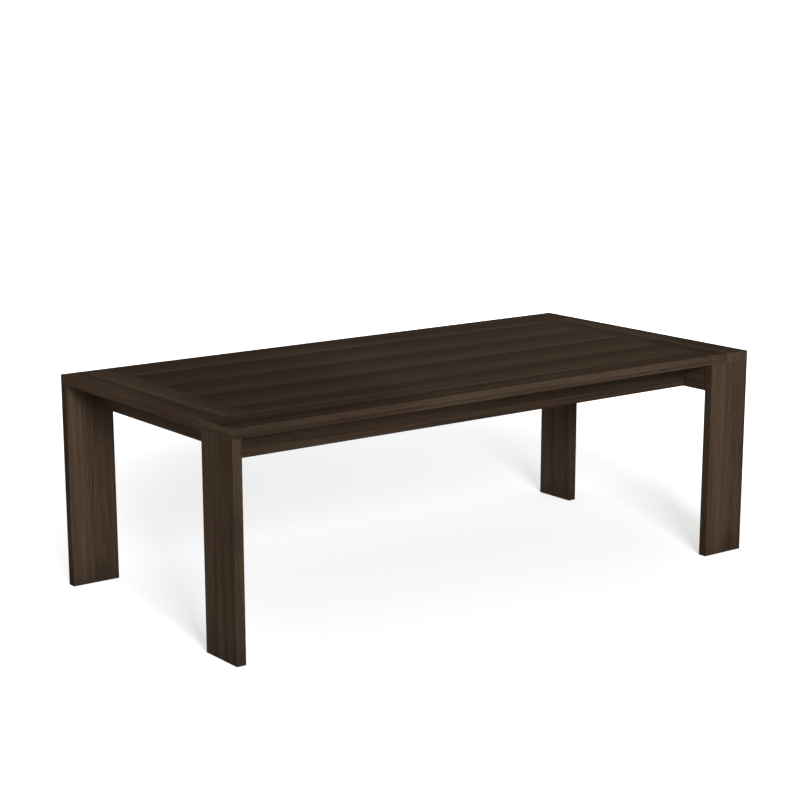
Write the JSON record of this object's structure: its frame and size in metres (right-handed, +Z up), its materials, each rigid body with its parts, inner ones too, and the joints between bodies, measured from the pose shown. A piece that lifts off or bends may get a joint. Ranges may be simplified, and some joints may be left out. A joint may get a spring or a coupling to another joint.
{
  "type": "outdoor dining table",
  "caption": "Rectangular outdoor dining table in dark-stained hardwood: a framed plank top, plank legs turned pinwheel fashion at its corners and an apron set back under the top.",
  "frame": {"origin": "on the floor, below the middle of the top", "axes": "+X along the table, +Y from front to back, +Z up"},
  "size_m": [2.206, 1.094, 0.75],
  "materials": {
    "stained_teak": "dark brown stain, satin, fine straight grain",
    "beech_joinery": "bare planed beech",
    "stainless_steel": "plain stainless fasteners",
    "brass": "turned brass",
    "nylon": "moulded, fine matt"
  },
  "bodies": {
    "root": {"top_board_front": "stained_teak", "top_board_right": "stained_teak", "top_board_back": "stained_teak", "top_board_left": "stained_teak", "field_plank_1": "stained_teak", "field_plank_2": "stained_teak", "field_plank_3": "stained_teak", "field_plank_4": "stained_teak", "field_plank_5": "stained_teak", "field_plank_6": "stained_teak", "field_plank_7": "stained_teak", "leg_front_left": "stained_teak", "leg_front_right": "stained_teak", "leg_back_right": "stained_teak", "leg_back_left": "stained_teak", "apron_front": "stained_teak", "apron_right": "stained_teak", "apron_back": "stained_teak", "apron_left": "stained_teak", "cross_batten_1": "stained_teak", "cross_batten_2": "stained_teak", "cross_batten_3": "stained_teak", "corner_block_front_left": "stained_teak", "corner_block_front_right": "stained_teak", "corner_block_back_right": "stained_teak", "corner_block_back_left": "stained_teak", "frame_tenons": "beech_joinery", "leg_dowels": "beech_joinery", "apron_dowels": "beech_joinery", "leg_bolts": "stainless_steel", "bolt_washers": "stainless_steel", "plank_screws": "stainless_steel", "top_screws": "stainless_steel", "block_screws": "stainless_steel", "glide_screws": "stainless_steel", "leg_inserts": "brass", "foot_glides": "nylon"}
  },
  "joints": []
}
